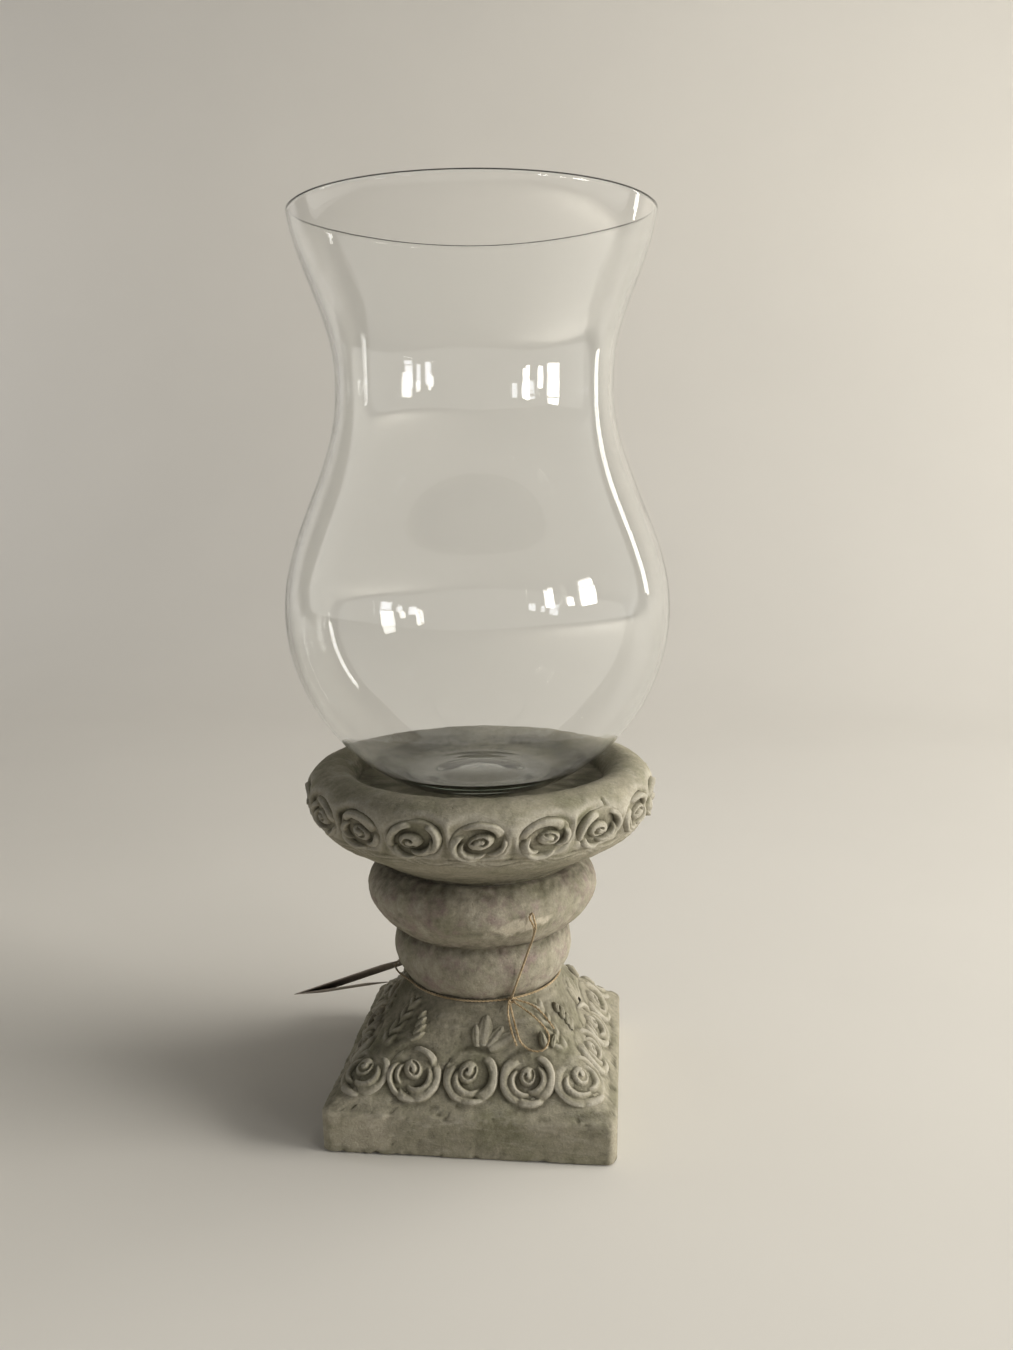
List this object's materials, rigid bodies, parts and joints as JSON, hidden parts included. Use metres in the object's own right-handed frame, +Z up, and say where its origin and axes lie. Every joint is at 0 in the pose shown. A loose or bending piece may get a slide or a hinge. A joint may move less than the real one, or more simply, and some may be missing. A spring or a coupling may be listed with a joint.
{
  "type": "hurricane candle lantern",
  "caption": "Hurricane candle lantern: a flared glass chimney in the dish of a rose-carved cast-stone pedestal, with a twine bow and a blank folded card on its neck.",
  "frame": {"origin": "Centre of the plinth's underside, on the surface that the lantern stands on.", "axes": "+Z up, -Y towards the front, +X to the right as seen from the front."},
  "size_m": [0.2014, 0.197, 0.4609],
  "materials": {
    "cast_stone": "weathered cast stone, matt, grey-green with darker hollows and pale worn edges",
    "mortar": "rough matt mortar",
    "blown_glass": "clear blown glass, glossy",
    "twine": "natural jute twine, two-ply, slightly hairy",
    "card": "uncoated grey-beige card, matt"
  },
  "bodies": {
    "stand": {"plinth": "cast_stone", "neck_mortar": "mortar", "baluster": "cast_stone", "dish_mortar": "mortar", "dish": "cast_stone", "twine_band": "twine", "twine_knot": "twine", "bow_loop_up": "twine", "bow_loop_down": "twine", "bow_tail_left": "twine", "bow_tail_right": "twine"},
    "chimney": {"glass_chimney": "blown_glass"},
    "tag": {"hang_tag": "card"}
  },
  "joints": [
    {"name": "glass_lift", "type": "slide", "parent": "stand", "child": "chimney", "axis": [0, 0, 1], "range_m": [0, 0.06]},
    {"name": "tag_swing", "type": "hinge", "parent": "stand", "child": "tag", "pos_m": [-0.0486, 0, 0.069], "axis": [0, 1, 0], "range_deg": [-15, 60]}
  ]
}
